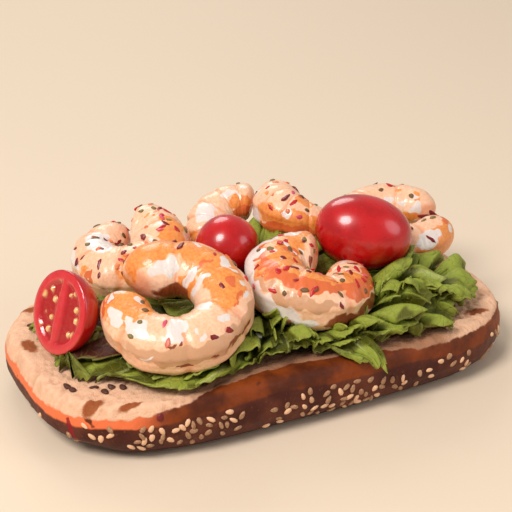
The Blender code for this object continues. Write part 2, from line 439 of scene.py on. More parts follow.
def strewing_tree(name, base, shape_up):
    """Strews one kind of small thing over a surface, denser where its strewn attribute is high.

    Base is (kind, settings, sockets) of the primitive node, and shape_up bends it into one piece of
    unit length. Each piece keeps a random tint from 0 to 1.
    """
    inputs = {
        "Density": ("Float", 1.0), "Apart": ("Float", 0.001), "Seed": ("Int", 0),
        "Smallest": ("Vector", (1.0, 1.0, 1.0)), "Largest": ("Vector", (1.0, 1.0, 1.0)),
        "Lean": ("Float", 0.2), "Finish": ("Material", None),
    }
    graph, given = new_tree(name, inputs)
    thick = graph.add("GeometryNodeInputNamedAttribute", {"data_type": "FLOAT"}, {"Name": "strewn"})
    spread = {
        "Mesh": given.other("Geometry"), "Distance Min": given.other("Apart"),
        "Density Max": given.other("Density"), "Density Factor": thick, "Seed": given.other("Seed"),
    }
    points = graph.add("GeometryNodeDistributePointsOnFaces", {"distribute_method": "POISSON"}, spread)
    facing = points.other("Rotation")
    lean = given.other("Lean")
    low = graph.add("ShaderNodeCombineXYZ", {}, {"X": lean * -1, "Y": lean * -1, "Z": 0.0})
    high = graph.add("ShaderNodeCombineXYZ", {}, {"X": lean, "Y": lean, "Z": 2 * math.pi})
    turn = random_vector(graph, low, high, given.other("Seed"))
    turn = graph.add("FunctionNodeEulerToRotation", {}, {0: turn})
    facing = graph.add("FunctionNodeRotateRotation", {"rotation_space": "LOCAL"}, {0: facing, 1: turn})
    size = random_vector(graph, given.other("Smallest"), given.other("Largest"), given.other("Seed") + 7)
    item = shape_up(graph, graph.add(*base))
    item = graph.add("GeometryNodeSetShadeSmooth", {}, {"Geometry": item})
    placing = {"Points": points, "Instance": item, "Rotation": facing, "Scale": size}
    placed = graph.add("GeometryNodeInstanceOnPoints", {}, placing)
    tint = graph.add("FunctionNodeRandomValue", {"data_type": "FLOAT"}, {"Seed": 5})
    placed = store(graph, placed, "tint", tint, "INSTANCE")
    placed = graph.add("GeometryNodeRealizeInstances", {}, {"Geometry": placed})
    placed = graph.add("GeometryNodeSetMaterial", {}, {"Geometry": placed, "Material": given.other("Finish")})
    graph.add("NodeGroupOutput", {}, {0: placed})
    return graph.tree


def random_vector(graph, low, high, seed):
    sockets = {"Min": low, "Max": high, "Seed": seed}
    return graph.add("FunctionNodeRandomValue", {"data_type": "FLOAT_VECTOR"}, sockets)


def seed_shape(graph, ball):
    """A flat teardrop."""
    x, y, z = split(graph, graph.add("GeometryNodeInputPosition"))
    return moved(graph, ball, x, y * (1 - x * 0.45) * 0.92, z)


def flake_shape(graph, ball):
    """A thin, bent and torn chip."""
    place = graph.add("GeometryNodeInputPosition")
    x, y, z = split(graph, place)
    torn = graph.noise(place, 2.3, 1.0) * 1.3 + 0.35
    return moved(graph, ball, x * torn, y * torn, z + (x * x - 0.3) * 0.8)


def crumb_shape(graph, ball):
    """A small uneven lump."""
    place = graph.add("GeometryNodeInputPosition")
    x, y, z = split(graph, place)
    lump = graph.noise(place, 1.7, 1.0) * 0.9 + 0.55
    return moved(graph, ball, x * lump, y * lump, z * lump)


# ================================================================ materials
def bread_material():
    made, graph = new_material("baked_roll")
    place = graph.place()
    coarse = graph.noise(place, 130.0, 3.0)
    fine = graph.noise(place, 900.0, 3.0)
    edge = (graph.noise(place, 260.0, 3.0) - 0.5) * 3.0
    rim = (graph.attribute("up_rim") + edge * 0.5).smooth(-0.35, 0.45)
    crumb = (graph.attribute("up_crumb") + edge).smooth(-0.3, 0.4)

    crust = graph.mix(coarse.smooth(0.35, 0.7), colour("451a10"), colour("63301f"))
    crust = graph.mix(fine.smooth(0.62, 0.75) * 0.35, crust, colour("8a5238"))
    rim_brown = graph.mix(coarse.smooth(0.3, 0.7), colour("4e200c"), colour("843a10"))
    # painted light and shade: the rim's left end is painted bright orange as lit, and further right it stays
    # a darker brown, partly as painted shade under the toppings
    rim_colour = graph.mix(graph.attribute("rim_painted_light"), rim_brown, colour("ea7343"))
    rim_colour = graph.mix(graph.noise(place, 210.0, 2.0).smooth(0.66, 0.72), rim_colour, colour("5e2a14"))
    crumb_colour = graph.mix(fine, colour("f3c9a8"), colour("e3a983"))
    # painted shadow of the leaves: the crumb's middle is painted tan
    crumb_colour = graph.mix(graph.attribute("leaf_shadow"), crumb_colour, colour("a9785a"))
    toast = (graph.attribute("toasted") + (coarse - 0.5) * 0.9 + (fine - 0.5) * 0.3).smooth(0.38, 0.68)
    crumb_colour = graph.mix(toast, crumb_colour, graph.mix(fine, colour("8a3f1c"), colour("a85c30")))
    # painted shade: the pores are darker inside
    crumb_colour = graph.mix(graph.attribute("pore") * 0.45, crumb_colour, colour("b0744c"))
    inner = graph.mix(rim, crust, rim_colour)
    whole = graph.mix(crumb, inner, crumb_colour)
    stain = (graph.attribute("stained") + (fine - 0.5) * 0.9).smooth(0.35, 0.6)
    whole = graph.mix(stain * 0.9, whole, colour("8a0f1e"))

    roughness = 0.46 + coarse * 0.12 + crumb * 0.3
    wrinkles = graph.cells(place, 420.0, "SMOOTH_F1")
    height = fine * 0.5 + wrinkles * 0.5 + graph.noise(place, 2600.0, 2.0) * (0.2 + crumb * 0.6)
    graph.surface(
        Base_Color=whole, Roughness=roughness, Normal=graph.bump(height, 0.5 * MM, 0.8),
        Specular_IOR_Level=0.22,
    )
    return made


def prawn_material():
    made, graph = new_material("prawn_flesh")
    place = graph.place()
    wavy = graph.noise(place, 230.0, 3.0, 0.55) - 0.5
    fine = graph.noise(place, 1100.0, 3.0)
    back = graph.attribute("back")
    blush = (graph.attribute("blush") + wavy * 0.75 + (fine - 0.5) * 0.2).smooth(0.34, 0.58)
    deep_orange_and_shade = (graph.attribute("deep_orange_and_shade") + wavy * 0.7).smooth(0.42, 0.58)
    pale = (graph.attribute("pale") + wavy * 0.7 + (fine - 0.5) * 0.25).smooth(0.38, 0.60)
    shade = (graph.attribute("shade") + wavy * 0.25).smooth(0.35, 0.65)
    sear_and_shadow = (graph.attribute("sear_and_shadow") + wavy * 0.5 + (fine - 0.5) * 0.2).smooth(0.36, 0.70)
    crease = graph.attribute("crease")

    flesh = graph.mix(fine.smooth(0.3, 0.75), colour("f7c6a0"), colour("f2b48c"))
    flesh = graph.mix(0.5 - back.smooth(-1.0, -0.3) * 0.5, flesh, colour("f6d3b6"))
    orange = graph.mix(fine.smooth(0.35, 0.7), colour("f09a4c"), colour("e98238"))
    flesh = graph.mix(crease * 0.55, flesh, colour("e98a55"))
    # painted shade: tan on the prawns' lower and inner sides
    flesh = graph.mix(shade, flesh, colour("cf9b74"))
    flesh = graph.mix(blush, flesh, orange)
    # deep orange: the flesh's own deeper orange, and painted shade on the lower sides of the right and top
    # prawns
    flesh = graph.mix(deep_orange_and_shade, flesh, colour("dd6a34"))
    # white: the flesh's own white, and painted highlights and glints on the segments
    flesh = graph.mix(pale * 0.9, flesh, colour("e6ddd6"))
    # brown: small browned marks, and painted shadow on the inner walls of the holes and under the prawns
    flesh = graph.mix(sear_and_shadow, flesh, colour("8c4322"))
    head_face = graph.attribute("head_face").smooth(0.02, 0.2)
    spots = 1 - graph.cells(place, 420.0).smooth(0.30, 0.42)
    flesh = graph.mix(head_face * spots * 0.8, flesh, colour("dd6a34"))

    roughness = 0.30 + fine * 0.16 - pale * 0.08
    threads = graph.noise(place, 2400.0, 2.0)
    height = fine * 0.6 + threads * 0.25 + graph.noise(place, 420.0, 2.0)
    graph.surface(
        Base_Color=flesh, Roughness=roughness, Normal=graph.bump(height, 0.28 * MM, 0.7),
        Subsurface_Weight=0.12, Subsurface_Radius=(1.0, 0.45, 0.25), Subsurface_Scale=1.6 * MM,
        Coat_Weight=0.35, Coat_Roughness=0.12,
    )
    return made


def tomato_material():
    made, graph = new_material("tomato_skin")
    place = graph.place()
    mottle = graph.noise(place, 120.0, 3.0)
    specks = graph.noise(place, 1500.0, 2.0).smooth(0.66, 0.78)
    skin = graph.mix(mottle.smooth(0.3, 0.7), colour("a80309"), colour("c60a10"))
    skin = graph.mix(specks * 0.35, skin, colour("e0492a"))
    skin = graph.mix(graph.attribute("scar"), skin, colour("8a6a34"))
    graph.surface(
        Base_Color=skin, Roughness=0.22 + mottle * 0.1,
        Normal=graph.bump(mottle + graph.noise(place, 900.0, 2.0) * 0.12, 0.3 * MM, 0.35),
        Subsurface_Weight=0.08, Subsurface_Radius=(1.0, 0.2, 0.1), Subsurface_Scale=1.5 * MM,
        Coat_Weight=0.4, Coat_Roughness=0.12,
    )
    return made


def tomato_flesh_material():
    made, graph = new_material("tomato_flesh")
    place = graph.place()
    fine = graph.noise(place, 700.0, 3.0)
    gel = graph.attribute("gel")
    flesh = graph.mix(fine, colour("c4141b"), colour("d5343a"))
    flesh = graph.mix(gel, flesh, colour("a8070d"))
    flesh = graph.mix(graph.attribute("seeded"), flesh, colour("efc07a"))
    flesh = graph.mix(graph.attribute("skin"), flesh, colour("b8060c"))
    graph.surface(
        Base_Color=flesh, Roughness=0.28 - gel * 0.14, Normal=graph.bump(fine, 0.3 * MM, 0.6),
        Subsurface_Weight=0.1, Subsurface_Radius=(1.0, 0.3, 0.15), Subsurface_Scale=1.5 * MM,
        Coat_Weight=0.6, Coat_Roughness=0.08,
    )
    return made


def leaf_material(name, light, dark, deep):
    made, graph = new_material(name)
    place = graph.place()
    broad = graph.noise(place, 110.0, 3.0)
    fine = graph.noise(place, 800.0, 3.0)
    fold = graph.attribute("fold")
    veins = 1 - graph.cells(place, 340.0, "DISTANCE_TO_EDGE").smooth(0.0, 0.09)
    ribs = 1 - graph.attribute("across").math("ABSOLUTE").smooth(0.01, 0.06)
    patches = graph.noise(place, 62.0, 2.0)
    # painted light and shade: lighter on the frills' ridges, darker in their valleys and in broad dark
    # blotches
    tone = fold * 0.8 + (broad - 0.5) * 1.5 + (patches - 0.5) * 2.2
    green = graph.mix(tone.smooth(0.30, 0.58), colour(dark), colour(light))
    green = graph.mix(veins * 0.10, green, colour("b0b565"))
    green = graph.mix(ribs * 0.5, green, colour("b9bd78"))
    # painted shade, darker towards each leaf's root deep in the heap
    green = graph.mix((1 - graph.attribute("reach")).smooth(0.3, 0.8), green, colour(deep))
    rim = (graph.attribute("reach") + (fine - 0.5) * 0.1).smooth(0.93, 1.0)
    green = graph.mix(rim * 0.35, green, colour("a9ad55"))
    green = graph.mix(fine.smooth(0.4, 0.8) * 0.25, green, colour(deep))
    graph.surface(
        Base_Color=green, Roughness=0.5 + fine * 0.15, Specular_IOR_Level=0.2,
        Normal=graph.bump(fine * 0.6 - veins * 0.5, 0.35 * MM, 0.8),
        Subsurface_Weight=0.1, Subsurface_Radius=(0.4, 1.0, 0.2), Subsurface_Scale=0.8 * MM,
    )
    return made


def tinted_material(name, first, second, roughness=0.5, split_at=0.5):
    """A finish for strewn pieces, each one nearer to one of two colours."""
    made, graph = new_material(name)
    fine = graph.noise(graph.place(), 1800.0, 2.0)
    tint = graph.attribute("tint")
    shade = graph.mix(tint.smooth(split_at - 0.08, split_at + 0.08), colour(first), colour(second))
    shade = graph.mix(fine.smooth(0.4, 0.8) * 0.4, shade, colour(second))
    graph.surface(
        Base_Color=shade, Roughness=roughness + fine * 0.1, Normal=graph.bump(fine, 0.1 * MM, 0.6),
        Coat_Weight=0.1,
    )
    return made


# ================================================================ the roll
def bread_outline(angle, inset):
    """A point of the roll's outline about its own middle, seen from above and moved in by inset."""
    c, s = math.cos(angle), math.sin(angle)
    power = 2 / BREAD_SQUARENESS
    x = (BREAD_LENGTH / 2 - inset) * math.copysign(abs(c) ** power, c)
    y = (BREAD_WIDTH / 2 - inset) * math.copysign(abs(s) ** power, s)
    stray = BREAD_WOBBLE * noise.noise(Vector((2.2 * c, 2.2 * s, 0.4)))
    return x + stray * c, y + stray * s


def bread_mesh():
    """The roll half: a lofted crust, a toasted rim and a crumb face with open pores."""
    around = 700
    crust_step, crumb_step = 0.7, 0.62  # mm between rings
    pore_depth = 1.1  # mm
    top = BREAD_HEIGHT / MM
    profile = []  # (inset, height, distance up the crust) in mm
    risen = 0.0
    for (i0, h0), (i1, h1) in zip(CRUST_PROFILE, CRUST_PROFILE[1:]):
        step = math.hypot(i1 - i0, h1 - h0)
        parts = max(2, round(step / crust_step))
        for k in range(parts):
            inset, height = i0 + (i1 - i0) * k / parts, h0 + (h1 - h0) * k / parts
            profile.append((inset, height, risen + step * k / parts))
        risen += step
    last_inset = CRUST_PROFILE[-1][0]
    profile += [(last_inset + k * crumb_step, top, risen + k * crumb_step) for k in range(26)]
    profile += [(inset, top, risen + inset - last_inset) for inset in (21, 24, 29, 35)]
    profile = [smoothed(profile, k) for k in range(len(profile))]

    rest = bread_rest()
    vertices, up_rim, up_crumb, pores, rim_painted_light, leaf_shadow, toasted, stained, strewn = ([] for _ in range(9))
    for inset, height, climbed in profile:
        for i in range(around):
            angle = 2 * math.pi * (i + 0.5) / around
            ends = smooth(0.62, 1.0, abs(math.cos(angle)))
            low = 1 - smooth(0.0, 7.0, height)
            x, y = bread_outline(angle, (inset + 5.0 * ends * low) * MM)
            z = height * MM
            if inset > last_inset:
                z += 0.25 * MM * noise.noise(Vector((x, y, 0.0)) * 38)
            place = Vector((x, y, z))
            x_mm = x / MM
            above_rim = climbed - ramp(RIM_START, x_mm)
            above_crumb = climbed - ramp(CRUMB_START, x_mm)
            is_crumb = smooth(-1.0, 1.5, above_crumb)
            pore = open_pore(place) * is_crumb
            lump = noise.noise(place * 130) * 0.28 + noise.noise(place * 420) * 0.12
            out = Vector((x, y, 0)).normalized() * (1 - smooth(top - 1.0, top, height))
            out += Vector((0, 0, 1)) * smooth(top - 2.5, top, height)
            base = smooth(0.4, 2.0, height)
            place += out * MM * (lump * base * (1 - 0.4 * is_crumb) - pore_depth * pore)
            vertices.append(place + rest)
            up_rim.append(above_rim)
            up_crumb.append(above_crumb)
            pores.append(pore)
            # painted light on the rim's left end, fading out towards the middle
            rim_painted_light.append(1 - smooth(-58, -44, x_mm + 3 * noise.noise(place * 120)))
            # painted shadow of the leaves over the crumb's middle
            leaf_shadow.append(smooth(-44, -34, x_mm) * (1 - smooth(40, 48, x_mm)))
            toasted.append(toast_mark(x_mm, y / MM))
            stained.append(juice_mark(x_mm, y / MM, height))
            strewn.append(seed_cover(place, height))
    middle = len(vertices)
    vertices.append(Vector((0, 0, 0)) + rest)
    vertices.append(Vector((0, 0, BREAD_HEIGHT)) + rest)
    mesh = mesh_from("bread_roll", vertices, ring_faces(len(profile), around, middle, middle + 1))
    extra = [0.0, 0.0]
    named = {
        "up_rim": up_rim, "up_crumb": up_crumb, "pore": pores, "rim_painted_light": rim_painted_light, "leaf_shadow": leaf_shadow,
        "toasted": toasted, "stained": stained, "strewn": strewn,
    }
    for name, values in named.items():
        write(mesh, name, values + extra)
    return mesh


def smoothed(profile, k):
    """Point k of the profile, with its corner rounded."""
    if k in (0, len(profile) - 1):
        return profile[k]
    near = [profile[j] for j in (k - 1, k, k + 1)]
    return tuple(0.25 * a + 0.5 * b + 0.25 * c for a, b, c in zip(*near))


def bread_rest():
    """From the roll's own middle to where it stands in the frame."""
    low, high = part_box("bread")
    return Vector(((low.x + high.x) / 2, (low.y + high.y) / 2, low.z))


def open_pore(place):
    """How deep the crumb is open here, from 0 to 1."""
    found = 0.0
    for scale, width in ((210.0, 0.42), (480.0, 0.50)):
        spot = Vector((place.x, place.y, 0.0)) * scale
        distance = noise.voronoi(spot)[0][0]
        patchy = 0.6 + 0.8 * noise.noise(spot * 0.21)
        found = max(found, patchy * (1 - min(1.0, distance / width) ** 2))
    return min(1.0, max(0.0, found))


def toast_mark(x, y):
    """How browned the crumb is at x, y in mm: 1 at the middle of each mark."""
    return max(math.exp(-(((x - a) / w) ** 2) - ((y - b) / d) ** 2) for a, b, w, d in TOAST_MARKS)


def juice_mark(x, y, height):
    """A run of red juice down the left end of the crust. All in mm."""
    wander = 1.3 * noise.noise(Vector((height * 0.22, 3.1, 0)))
    width = 0.9 + 0.5 * noise.noise(Vector((height * 0.3, 0, 5.2)))
    across = (y + 27.5 + 0.35 * (12 - height) + wander) / width
    ends = smooth(2.6, 5.0, height) * (1 - smooth(11.0, 14.0, height))
    return float(x < -60) * math.exp(-(across**2)) * ends


def seed_cover(place, height):
    """How thickly the seeds lie on the crust: a band round the side, in clusters."""
    band = smooth(2.4, 4.2, height) * (1 - smooth(11.2, 12.6, height))
    cluster = 0.74 + 1.3 * noise.noise(Vector((place.x, place.y, 0.01)) * 62)
    left_end = smooth(-74, -62, place.x / MM) * 0.85 + 0.15
    return band * min(1.0, max(0.16, cluster)) * left_end


# ================================================================ prawns
def painted(mesh, name, patches):
    """Stores a value that is high inside the patches, (along, turn, half length, half width) each."""
    along = read(mesh, "along")
    turn = np.degrees(np.arctan2(read(mesh, "side"), read(mesh, "back")))
    value = np.zeros(len(along))
    strays = [noise.noise_vector(v.co * 210) + 0.6 * noise.noise_vector(v.co * 520) for v in mesh.vertices]
    strays = np.array([tuple(stray) for stray in strays])
    along = along + 0.028 * strays[:, 0]
    turn = turn + 14 * strays[:, 1]
    for middle, facing, length, width in patches:
        apart = (turn - facing + 180) % 360 - 180
        distance = np.sqrt(((along - middle) / length) ** 2 + (apart / width) ** 2)
        value = np.maximum(value, 1 - smooth(0.55, 1.45, distance))
    write(mesh, name, value)


def lay(mesh, spin, tilt, heading):
    """Turns a mesh by its spin, then tips it by its tilt about a level line at its heading."""
    spin, tilt, heading = (math.radians(a) for a in (spin, tilt, heading))
    spun = Matrix.Rotation(spin - heading, 4, "Z")
    mesh.transform(Matrix.Rotation(heading, 4, "Z") @ Matrix.Rotation(tilt, 4, "X") @ spun)


# Where each prawn is orange (blush), deep orange with painted shade on some lower sides
# (deep_orange_and_shade), white flesh and painted highlights (pale), kept clear of orange (peach), in
# painted shade (shade), and browned with painted shadow in the holes and underneath (sear_and_shadow).
# A patch is (along, turn, half length, half width): shares of the prawn's length from its head end, and
# degrees round it from its back.
PRAWN_MARKS = {
    "prawn_front": {
        "blush": [
            (0.09, 95, 0.10, 62), (0.66, 86, 0.17, 44), (0.90, 66, 0.12, 42), (0.74, 165, 0.06, 34),
            (0.31, 66, 0.012, 10), (0.93, -15, 0.10, 34), (0.03, -10, 0.05, 30),
        ],
        "deep_orange_and_shade": [
            (0.04, 60, 0.02, 14), (0.05, 35, 0.015, 10), (0.60, 75, 0.02, 8), (0.55, 60, 0.03, 5),
            (0.72, 110, 0.008, 26),
        ],
        "pale": [
            (0.655, 148, 0.026, 30), (0.735, 146, 0.028, 30), (0.89, 128, 0.085, 20),
            (0.31, 82, 0.03, 32), (0.20, 70, 0.045, 16), (0.11, 50, 0.04, 15), (0.48, 118, 0.04, 16),
            (0.38, 60, 0.012, 8), (0.47, 62, 0.022, 9), (0.66, 58, 0.02, 7), (0.57, 45, 0.012, 7),
            (0.03, 85, 0.015, 12), (0.07, 120, 0.018, 9), (0.045, 60, 0.01, 12), (0.24, 14, 0.02, 4),
            (0.78, 62, 0.02, 6),
        ],
        "shade": [(0.36, 22, 0.17, 22), (0.52, 24, 0.05, 14), (0.72, 215, 0.12, 24)],
        "sear_and_shadow": [
            (0.475, 9, 0.05, 5), (0.39, 11, 0.022, 4.5), (0.33, -3, 0.014, 6), (0.29, 45, 0.013, 6),
            (0.32, 51, 0.011, 7), (0.85, 186, 0.14, 30), (0.80, 212, 0.15, 24),
        ],
    },
    "prawn_middle": {
        "blush": [(0.37, 98, 0.31, 50), (0.08, 60, 0.05, 40), (0.73, 80, 0.12, 30), (0.13, -20, 0.11, 34)],
        "deep_orange_and_shade": [
            (0.49, 66, 0.24, 16), (0.77, 44, 0.10, 22), (0.86, 20, 0.04, 30), (0.20, 118, 0.05, 14),
            (0.21, 60, 0.05, 9),
        ],
        "pale": [
            (0.13, 62, 0.09, 13), (0.24, 47, 0.08, 15), (0.33, 26, 0.09, 16), (0.44, 2, 0.09, 15),
            (0.53, -14, 0.05, 12), (0.06, 50, 0.03, 20), (0.17, 98, 0.017, 7), (0.21, 120, 0.022, 6),
            (0.27, 84, 0.016, 9), (0.33, 104, 0.017, 8), (0.82, 92, 0.017, 10), (0.13, 130, 0.017, 9),
            (0.93, 84, 0.014, 11),
        ],
        "peach": [(0.49, 122, 0.06, 20), (0.69, 96, 0.04, 16), (0.84, 74, 0.03, 14)],
        "shade": [(0.40, 36, 0.09, 13), (0.52, 28, 0.10, 14), (0.30, 175, 0.17, 30)],
        "sear_and_shadow": [
            (0.66, -16, 0.06, 19), (0.76, 2, 0.07, 17), (0.21, 190, 0.12, 24), (0.05, 150, 0.025, 16),
            (0.96, 128, 0.02, 16),
        ],
    },
    "prawn_right": {
        "blush": [
            (0.08, 14, 0.14, 50), (0.20, -34, 0.14, 34), (0.95, 188, 0.09, 16), (0.84, 100, 0.012, 9),
            (0.93, 104, 0.012, 8), (0.95, 126, 0.012, 8), (0.75, -15, 0.17, 34),
        ],
        "deep_orange_and_shade": [(0.16, -44, 0.14, 22), (0.02, 60, 0.03, 20)],
        "pale": [
            (0.16, 40, 0.05, 24), (0.05, 28, 0.02, 14), (0.80, 140, 0.03, 11), (0.88, 150, 0.035, 9),
            (0.97, 150, 0.02, 24), (0.93, 122, 0.02, 9),
        ],
        "shade": [(0.5, 30, 0.2, 30)],
        "sear_and_shadow": [(0.21, -12, 0.015, 5), (0.19, -10, 0.008, 8)],
    },
    "prawn_back_left": {
        "blush": [
            (0.22, 68, 0.08, 26), (0.44, 60, 0.08, 28), (0.62, 20, 0.01, 22), (0.08, 100, 0.01, 10),
            (0.13, 84, 0.012, 8), (0.87, -15, 0.12, 34), (0.03, -15, 0.05, 30),
        ],
        "deep_orange_and_shade": [(0.60, 30, 0.008, 16), (0.10, 70, 0.012, 9)],
        "pale": [
            (0.72, 104, 0.14, 34), (0.69, 26, 0.05, 13), (0.34, 30, 0.07, 12), (0.34, 92, 0.03, 7),
            (0.20, 90, 0.02, 5),
        ],
        "shade": [(0.5, -20, 0.3, 26)],
    },
    "prawn_back": {
        "blush": [(0.82, 122, 0.18, 20), (0.1, 40, 0.1, 30), (0.45, -14, 0.35, 32)],
        "deep_orange_and_shade": [(0.84, 156, 0.2, 22)],
        "pale": [(0.38, 84, 0.13, 32), (0.74, 86, 0.10, 11), (0.84, 100, 0.012, 14), (0.92, 74, 0.04, 9)],
        "shade": [(0.3, 0, 0.3, 30)],
    },
    "prawn_top": {
        "blush": [(0.58, 20, 0.28, 26), (0.62, 92, 0.10, 24), (0.3, 60, 0.02, 10), (0.10, -30, 0.12, 30)],
        "deep_orange_and_shade": [(0.58, -24, 0.3, 26), (0.56, 112, 0.04, 14)],
        "pale": [(0.27, -16, 0.045, 28), (0.52, 34, 0.03, 12), (0.18, 44, 0.03, 14)],
        "shade": [(0.5, 200, 0.3, 30)],
    },
}
# how thickly each prawn is sprinkled with chilli and pepper, from 0 to 1
SPRINKLED = {
    "prawn_front": 0.16, "prawn_middle": 1.0, "prawn_right": 0.3, "prawn_back_left": 0.9, "prawn_back": 0.12,
    "prawn_top": 1.0,
}


def prawn_meshes(material):
    """Makes each prawn's flesh, painted and laid in its node's place."""
    tree = prawn_tree()
    made = {}
    for name, (ring, body, sweep, lift, tuck, tail, spin, tilt) in PRAWNS.items():
        inputs = {
            "Ring": ring * MM, "Body": body * MM, "Sweep": math.radians(sweep), "Lift": lift * MM,
            "Tuck": tuck, "Tail": tail, "Finish": material,
        }
        mesh = grown(name + "_flesh", tree, inputs)
        if sweep < 0:
            mesh.flip_normals()
        for channel in ("blush", "deep_orange_and_shade", "pale", "peach", "shade", "sear_and_shadow"):
            painted(mesh, channel, PRAWN_MARKS[name].get(channel, []))
        write(mesh, "blush", read(mesh, "blush") * (1 - read(mesh, "peach")))
        write(mesh, "deep_orange_and_shade", read(mesh, "deep_orange_and_shade") * (1 - read(mesh, "peach")))
        lay(mesh, spin, tilt, PRAWN_HEADING)
        centre_on(mesh, name)
        piece(name + "_flesh", mesh, [name])
        made[name] = mesh
    return made


# ================================================================ tomatoes
def whole_tomato(name, length, size, spin, tilt, heading, material):
    """A small plum tomato with faint ribs and a stem scar at one end."""
    around, steps = 96, 64
    dimple_depth = 0.9 * MM
    half = 0.5 * size * length * MM
    vertices, scars = [], []
    for i in range(1, steps):
        angle = math.pi * i / steps
        for j in range(around):
            turn = 2 * math.pi * j / around
            ribs = 1 + 0.006 * math.cos(5 * turn) * math.sin(angle)
            radius = size * TOMATO_RADIUS * math.sin(angle) ** 0.92 * ribs
            dimple = dimple_depth * math.exp(-((angle / 0.16) ** 2))
            height = -half * math.cos(angle) + dimple
            vertices.append((radius * math.cos(turn), radius * math.sin(turn), height))
            scars.append(math.exp(-((angle / (0.11 + 0.02 * math.cos(5 * turn))) ** 4)))
    first = len(vertices)
    vertices += [(0, 0, -half + dimple_depth), (0, 0, half)]
    mesh = mesh_from(name + "_skin", vertices, ring_faces(steps - 1, around, first, first + 1))
    write(mesh, "scar", scars + [1.0, 0.0])
    lay(mesh, spin, tilt, heading)
    centre_on(mesh, name)
    return piece(name + "_skin", mesh, [name], [material])


def half_tomato(name, length, size, spin, tilt, heading, material):
    """Half a tomato: a domed skin, and a cut face with its wall, pulp pockets and seeds."""
    around, depth_steps, face_steps = 120, 26, 26
    wall_rise, pocket_depth, seed_rise = 0.25, 0.9, 0.8  # mm
    half = 0.5 * size * length * MM
    radius = size * TOMATO_RADIUS
    vertices, gel, seeded, skinned = [], [], [], []
    for i in range(depth_steps):
        depth = 0.5 * math.pi * (depth_steps - 0.5 - i) / (depth_steps + 0.1)
        share = math.cos(depth)
        for j in range(around):
            a = 2 * math.pi * j / around
            x, y = half * share * math.cos(a), radius * share * math.sin(a)
            vertices.append((x, y, -radius * math.sin(depth)))
            gel.append(0.0)
            seeded.append(0.0)
            skinned.append(1.0)
    for i in range(face_steps):
        share = 1 - 0.012 - (i / face_steps) * 0.97
        for j in range(around):
            a = 2 * math.pi * j / around
            x, y = half * share * math.cos(a), radius * share * math.sin(a)
            pocket = pulp_pocket(x / half, y / radius)
            seed = seed_in_pulp(x / MM, y / MM) * pocket
            z = (wall_rise - pocket_depth * pocket + seed_rise * seed) * MM * min(1.0, i / 2)
            vertices.append((x, y, z))
            gel.append(pocket)
            seeded.append(seed)
            skinned.append(1.0 if i == 0 else 0.0)
    first = len(vertices)
    vertices += [(0, 0, -radius), (0, 0, wall_rise * MM)]
    rings = depth_steps + face_steps
    mesh = mesh_from(name + "_cut", vertices, ring_faces(rings, around, first, first + 1))
    write(mesh, "gel", gel + [0.0, 0.0])
    write(mesh, "seeded", seeded + [0.0, 0.0])
    write(mesh, "skin", skinned + [1.0, 0.0])
    lay(mesh, spin, tilt, heading)
    centre_on(mesh, name)
    return piece(name + "_cut", mesh, [name], [material])


def pulp_pocket(x, y):
    """1 in the two gel pockets of a cut tomato, 0 in its wall and core."""
    outer = 1 - smooth(0.70, 0.80, math.hypot(x, y))
    core = smooth(0.10, 0.22, abs(y) + 0.10 * abs(x) ** 2)
    return float(outer * core)


def seed_in_pulp(x, y):
    """1 on a seed of the pulp, 0 between the seeds. All in mm."""
    distance = noise.voronoi(Vector((x * 0.30, y * 0.36, 0.7)))[0][0]
    return float(1 - smooth(0.24, 0.33, distance))


# ================================================================ lettuce
def reach_of_heap():
    """How far out the heap of leaves goes in each direction, from the frame."""
    points = coordinates(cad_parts["lettuce"].data)
    angle = np.arctan2(points[:, 1], points[:, 0])
    distance = np.hypot(points[:, 0], points[:, 1])
    bins = 60
    window = 0.12  # half the angle that one bin looks over
    found = []
    for k in range(bins):
        apart = (angle - 2 * math.pi * k / bins + math.pi) % (2 * math.pi) - math.pi
        found.append(distance[np.abs(apart) < window].max())

    def reach(direction):
        where = (direction / (2 * math.pi) * bins) % bins
        k = int(where) % bins
        share = where - int(where)
        return found[k] * (1 - share) + found[(k + 1) % bins] * share

    return reach


def leaves_mesh(name, leaves, across, along):
    """Frilled leaves over the heap, each given by a dict of where it lies and how it is ruffled."""
    reach = reach_of_heap()
    heap = surface_of("lettuce")
    toppings = surface_of(*[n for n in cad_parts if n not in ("bread", "lettuce")])
    roll = surface_of("bread")
    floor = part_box("lettuce")[0].z
    vertices, faces, folds, reaches, sides = [], [], [], [], []
    for leaf in leaves:
        start = len(vertices)
        grid = np.empty((along, across, 3))
        for k in range(along):
            v = k / (along - 1)
            for i in range(across):
                u = 2 * i / (across - 1) - 1
                place, fold = leaf_point(leaf, u, v, reach, heap, floor)
                grid[k, i] = place
                folds.append(fold)
                reaches.append(v)
                sides.append(u)
        for row in relaxed(relaxed(grid)):
            for point in row:
                place = pressed_under(Vector(point), toppings, floor)
                place = pushed_out(place, toppings, UNDER_TOPPING)
                vertices.append(pushed_out(place, roll, OVER_ROLL))
        cells, showing = {}, np.zeros((along - 1, across - 1), bool)
        for k in range(along - 1):
            for i in range(across - 1):
                a = start + k * across + i
                cells[k, i] = (a, a + 1, a + across + 1, a + across)
                corners = [vertices[corner] for corner in cells[k, i]]
                short = (corners[0] - corners[2]).length < LONGEST_CELL
                showing[k, i] = short and clear_of(toppings, corners)
        faces += [cells[cell] for cell in without_scraps(showing)]
    used = sorted({corner for face in faces for corner in face})
    place_of = {corner: k for k, corner in enumerate(used)}
    faces = [[place_of[corner] for corner in face] for face in faces]
    shown = ([values[k] for k in used] for values in (vertices, folds, reaches, sides))
    vertices, folds, reaches, sides = shown
    mesh = mesh_from(name, vertices, faces)
    write(mesh, "fold", folds)
    write(mesh, "reach", reaches)
    write(mesh, "across", sides)
    return mesh


